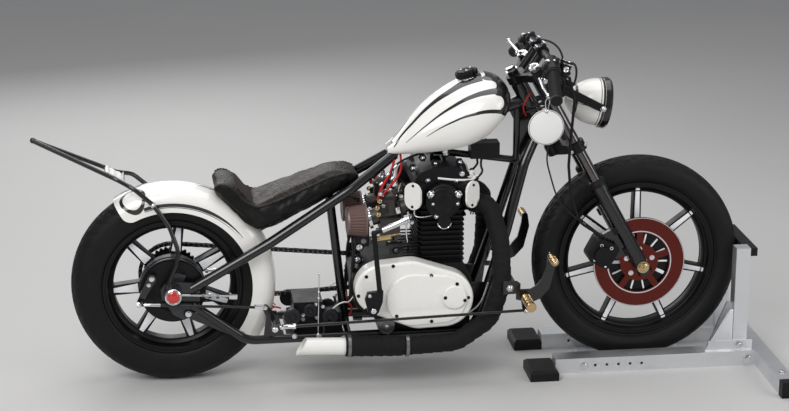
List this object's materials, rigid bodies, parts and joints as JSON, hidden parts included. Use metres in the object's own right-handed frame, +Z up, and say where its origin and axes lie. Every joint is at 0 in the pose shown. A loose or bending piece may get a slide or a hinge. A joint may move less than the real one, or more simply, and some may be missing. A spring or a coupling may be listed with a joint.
{
  "type": "hardtail chopper motorcycle in a wheel chock",
  "caption": "Hardtail chopper with an upright twin engine, teardrop tank, cast wheels and pointed sissy bar, parked with its front wheel in an aluminium chock.",
  "frame": {"origin": "middle of the footprint, on the floor", "axes": "+X forward, +Y to the rider's left, +Z up"},
  "size_m": [2.3369, 0.888, 1.054],
  "materials": {
    "black_paint": "satin",
    "ivory_paint": "gloss",
    "chrome": "polished",
    "aluminium": "brushed",
    "cast_black": "satin",
    "engine_black": "satin",
    "disc_steel": "turned",
    "tyre_rubber": "matt",
    "black_rubber": "matt",
    "dark_leather": "tooled",
    "lamp_glass": "clear",
    "brass": "polished",
    "pipe_wrap": "woven",
    "tag_white": "matt",
    "filter_mesh": "gauze",
    "carb_alloy": "cast"
  },
  "bodies": {
    "front_end": {"wheel_chock": "aluminium", "chock_rubber": "black_rubber", "fork_tubes": "chrome", "fork_sliders": "black_paint", "fork_yokes": "black_paint", "front_axle": "chrome", "front_caliper": "engine_black", "brake_hose": "black_rubber", "handlebar": "black_paint", "grips": "black_rubber", "bar_controls": "black_paint", "hand_levers": "chrome", "hang_tag": "tag_white", "headlight_shell": "ivory_paint", "headlight_rim": "black_paint", "headlight_glass": "lamp_glass", "headlight_arms": "black_paint"},
    "front_wheel": {"front_tyre": "tyre_rubber", "front_wheel": "cast_black", "front_disc": "disc_steel"},
    "frame": {"frame_spine": "black_paint", "frame_downtubes": "black_paint", "frame_lower_rails": "black_paint", "frame_upper_rails": "black_paint", "frame_axle_plates": "black_paint", "frame_seat_post": "black_paint", "rear_axle": "chrome", "rear_brake_plate": "cast_black", "brake_linkage": "black_paint", "engine_cases": "engine_black", "right_cover": "ivory_paint", "left_cover": "ivory_paint", "cylinders": "engine_black", "cylinder_head": "engine_black", "rocker_box": "engine_black", "rocker_caps": "ivory_paint", "points_cover": "engine_black", "carburettors": "carb_alloy", "air_filters": "filter_mesh", "drive_chain": "engine_black", "exhaust_pipes": "pipe_wrap", "exhaust_tips": "ivory_paint", "kick_lever": "engine_black", "forward_controls": "black_paint", "foot_pegs": "brass", "electrics": "engine_black", "fuel_tank": "ivory_paint", "tank_cap": "engine_black", "seat": "dark_leather", "rear_fender": "ivory_paint", "sissy_bar": "black_paint"},
    "rear_wheel": {"rear_tyre": "tyre_rubber", "rear_wheel": "cast_black", "rear_sprocket": "engine_black"},
    "side_stand": {"side_stand": "black_paint"}
  },
  "joints": [
    {"name": "steering", "type": "hinge", "parent": "front_end", "child": "frame", "pos_m": [0.39987, 0, 0.83738], "axis": [-0.4818, 0, 0.8763], "range_deg": [-32, 32]},
    {"name": "front_wheel_spin", "type": "hinge", "parent": "front_end", "child": "front_wheel", "pos_m": [0.7415, 0, 0.3405], "axis": [0, 1, 0], "continuous": true},
    {"name": "rear_wheel_spin", "type": "hinge", "parent": "frame", "child": "rear_wheel", "pos_m": [-0.7485, 0, 0.315], "axis": [0, 1, 0], "continuous": true},
    {"name": "side_stand_fold", "type": "hinge", "parent": "frame", "child": "side_stand", "pos_m": [-0.0485, 0.13, 0.128], "axis": [0, -1, 0], "range_deg": [0, 105]}
  ]
}
